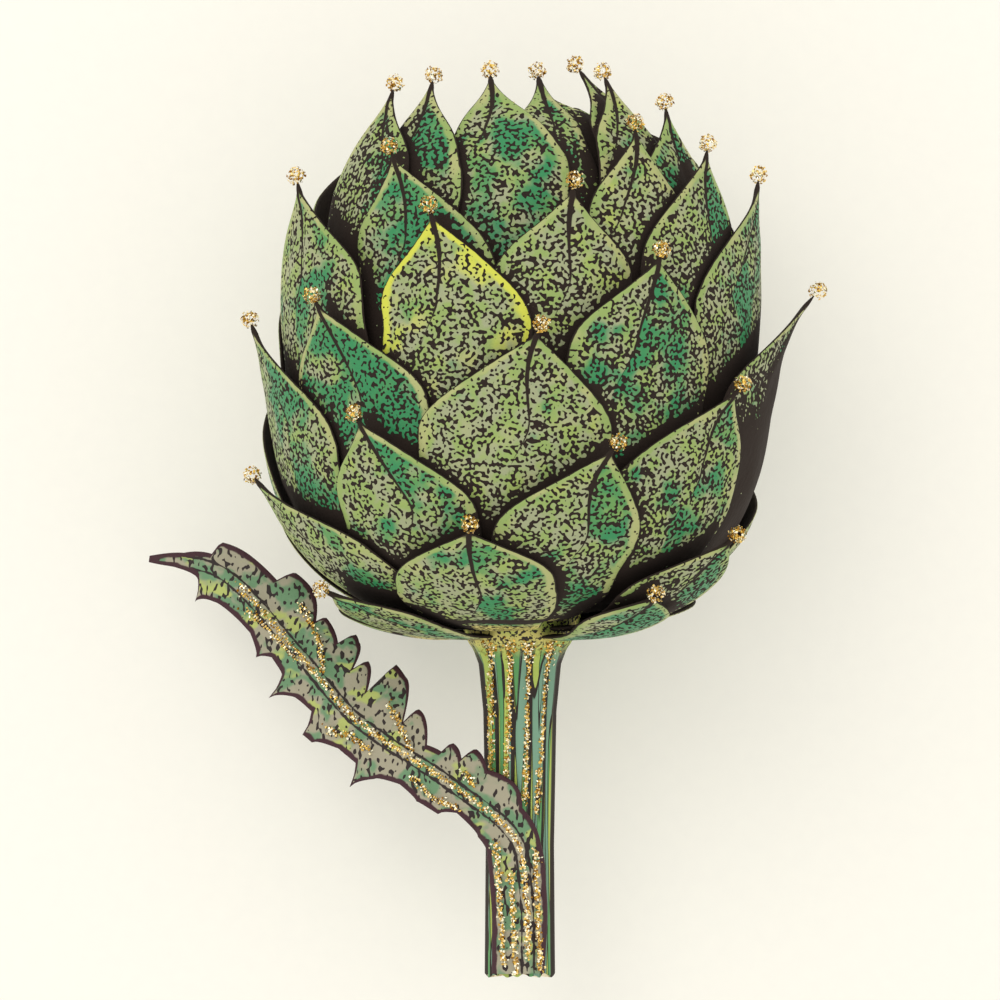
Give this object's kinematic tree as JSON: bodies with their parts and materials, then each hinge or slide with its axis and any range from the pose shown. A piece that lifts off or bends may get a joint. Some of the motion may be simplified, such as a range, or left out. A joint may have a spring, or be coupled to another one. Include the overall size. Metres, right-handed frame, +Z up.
{
  "type": "artichoke",
  "caption": "Globe artichoke lying on its side: overlapping spined bracts round a closed bud, a length of stem and one toothed leaf clasping it.",
  "frame": {"origin": "middle of the small flat spot that the head lies on", "axes": "+Y from the stem towards the crown, +Z up from the surface, +X to the side away from the leaf"},
  "size_m": [0.1354, 0.1821, 0.1022],
  "materials": {
    "bract_skin": "matte",
    "bud_skin": "matte",
    "stem_skin": "matte",
    "leaf_skin": "matte",
    "gold_glitter": "polished"
  },
  "bodies": {
    "root": {"bract_1_1": "bract_skin", "bract_1_2": "bract_skin", "bract_1_3": "bract_skin", "bract_1_4": "bract_skin", "bract_1_5": "bract_skin", "bract_1_6": "bract_skin", "bract_2_1": "bract_skin", "bract_2_2": "bract_skin", "bract_2_3": "bract_skin", "bract_2_4": "bract_skin", "bract_2_5": "bract_skin", "bract_3_1": "bract_skin", "bract_3_2": "bract_skin", "bract_3_3": "bract_skin", "bract_3_4": "bract_skin", "bract_3_5": "bract_skin", "bract_3_6": "bract_skin", "bract_3_7": "bract_skin", "bract_4_1": "bract_skin", "bract_4_2": "bract_skin", "bract_4_3": "bract_skin", "bract_4_4": "bract_skin", "bract_4_5": "bract_skin", "bract_4_6": "bract_skin", "bract_5_1": "bract_skin", "bract_5_2": "bract_skin", "bract_5_3": "bract_skin", "bract_5_4": "bract_skin", "bract_5_5": "bract_skin", "bract_5_6": "bract_skin", "bract_5_7": "bract_skin", "bract_6_1": "bract_skin", "bract_6_2": "bract_skin", "bract_6_3": "bract_skin", "bract_6_4": "bract_skin", "bract_6_5": "bract_skin", "bract_6_6": "bract_skin", "bract_6_7": "bract_skin", "bract_7_1": "bract_skin", "bract_7_2": "bract_skin", "bract_7_3": "bract_skin", "bract_7_4": "bract_skin", "bract_7_5": "bract_skin", "bract_7_6": "bract_skin", "bract_8_1": "bract_skin", "bract_8_2": "bract_skin", "bract_8_3": "bract_skin", "bract_8_4": "bract_skin", "bract_8_5": "bract_skin", "bract_8_6": "bract_skin", "bract_9_1": "bract_skin", "bract_9_2": "bract_skin", "bract_9_3": "bract_skin", "bract_9_4": "bract_skin", "bract_9_5": "bract_skin", "bract_9_6": "bract_skin", "bract_9_7": "bract_skin", "inner_bud": "bud_skin", "leaf": "leaf_skin", "stem_and_heart": "stem_skin"}
  },
  "joints": []
}
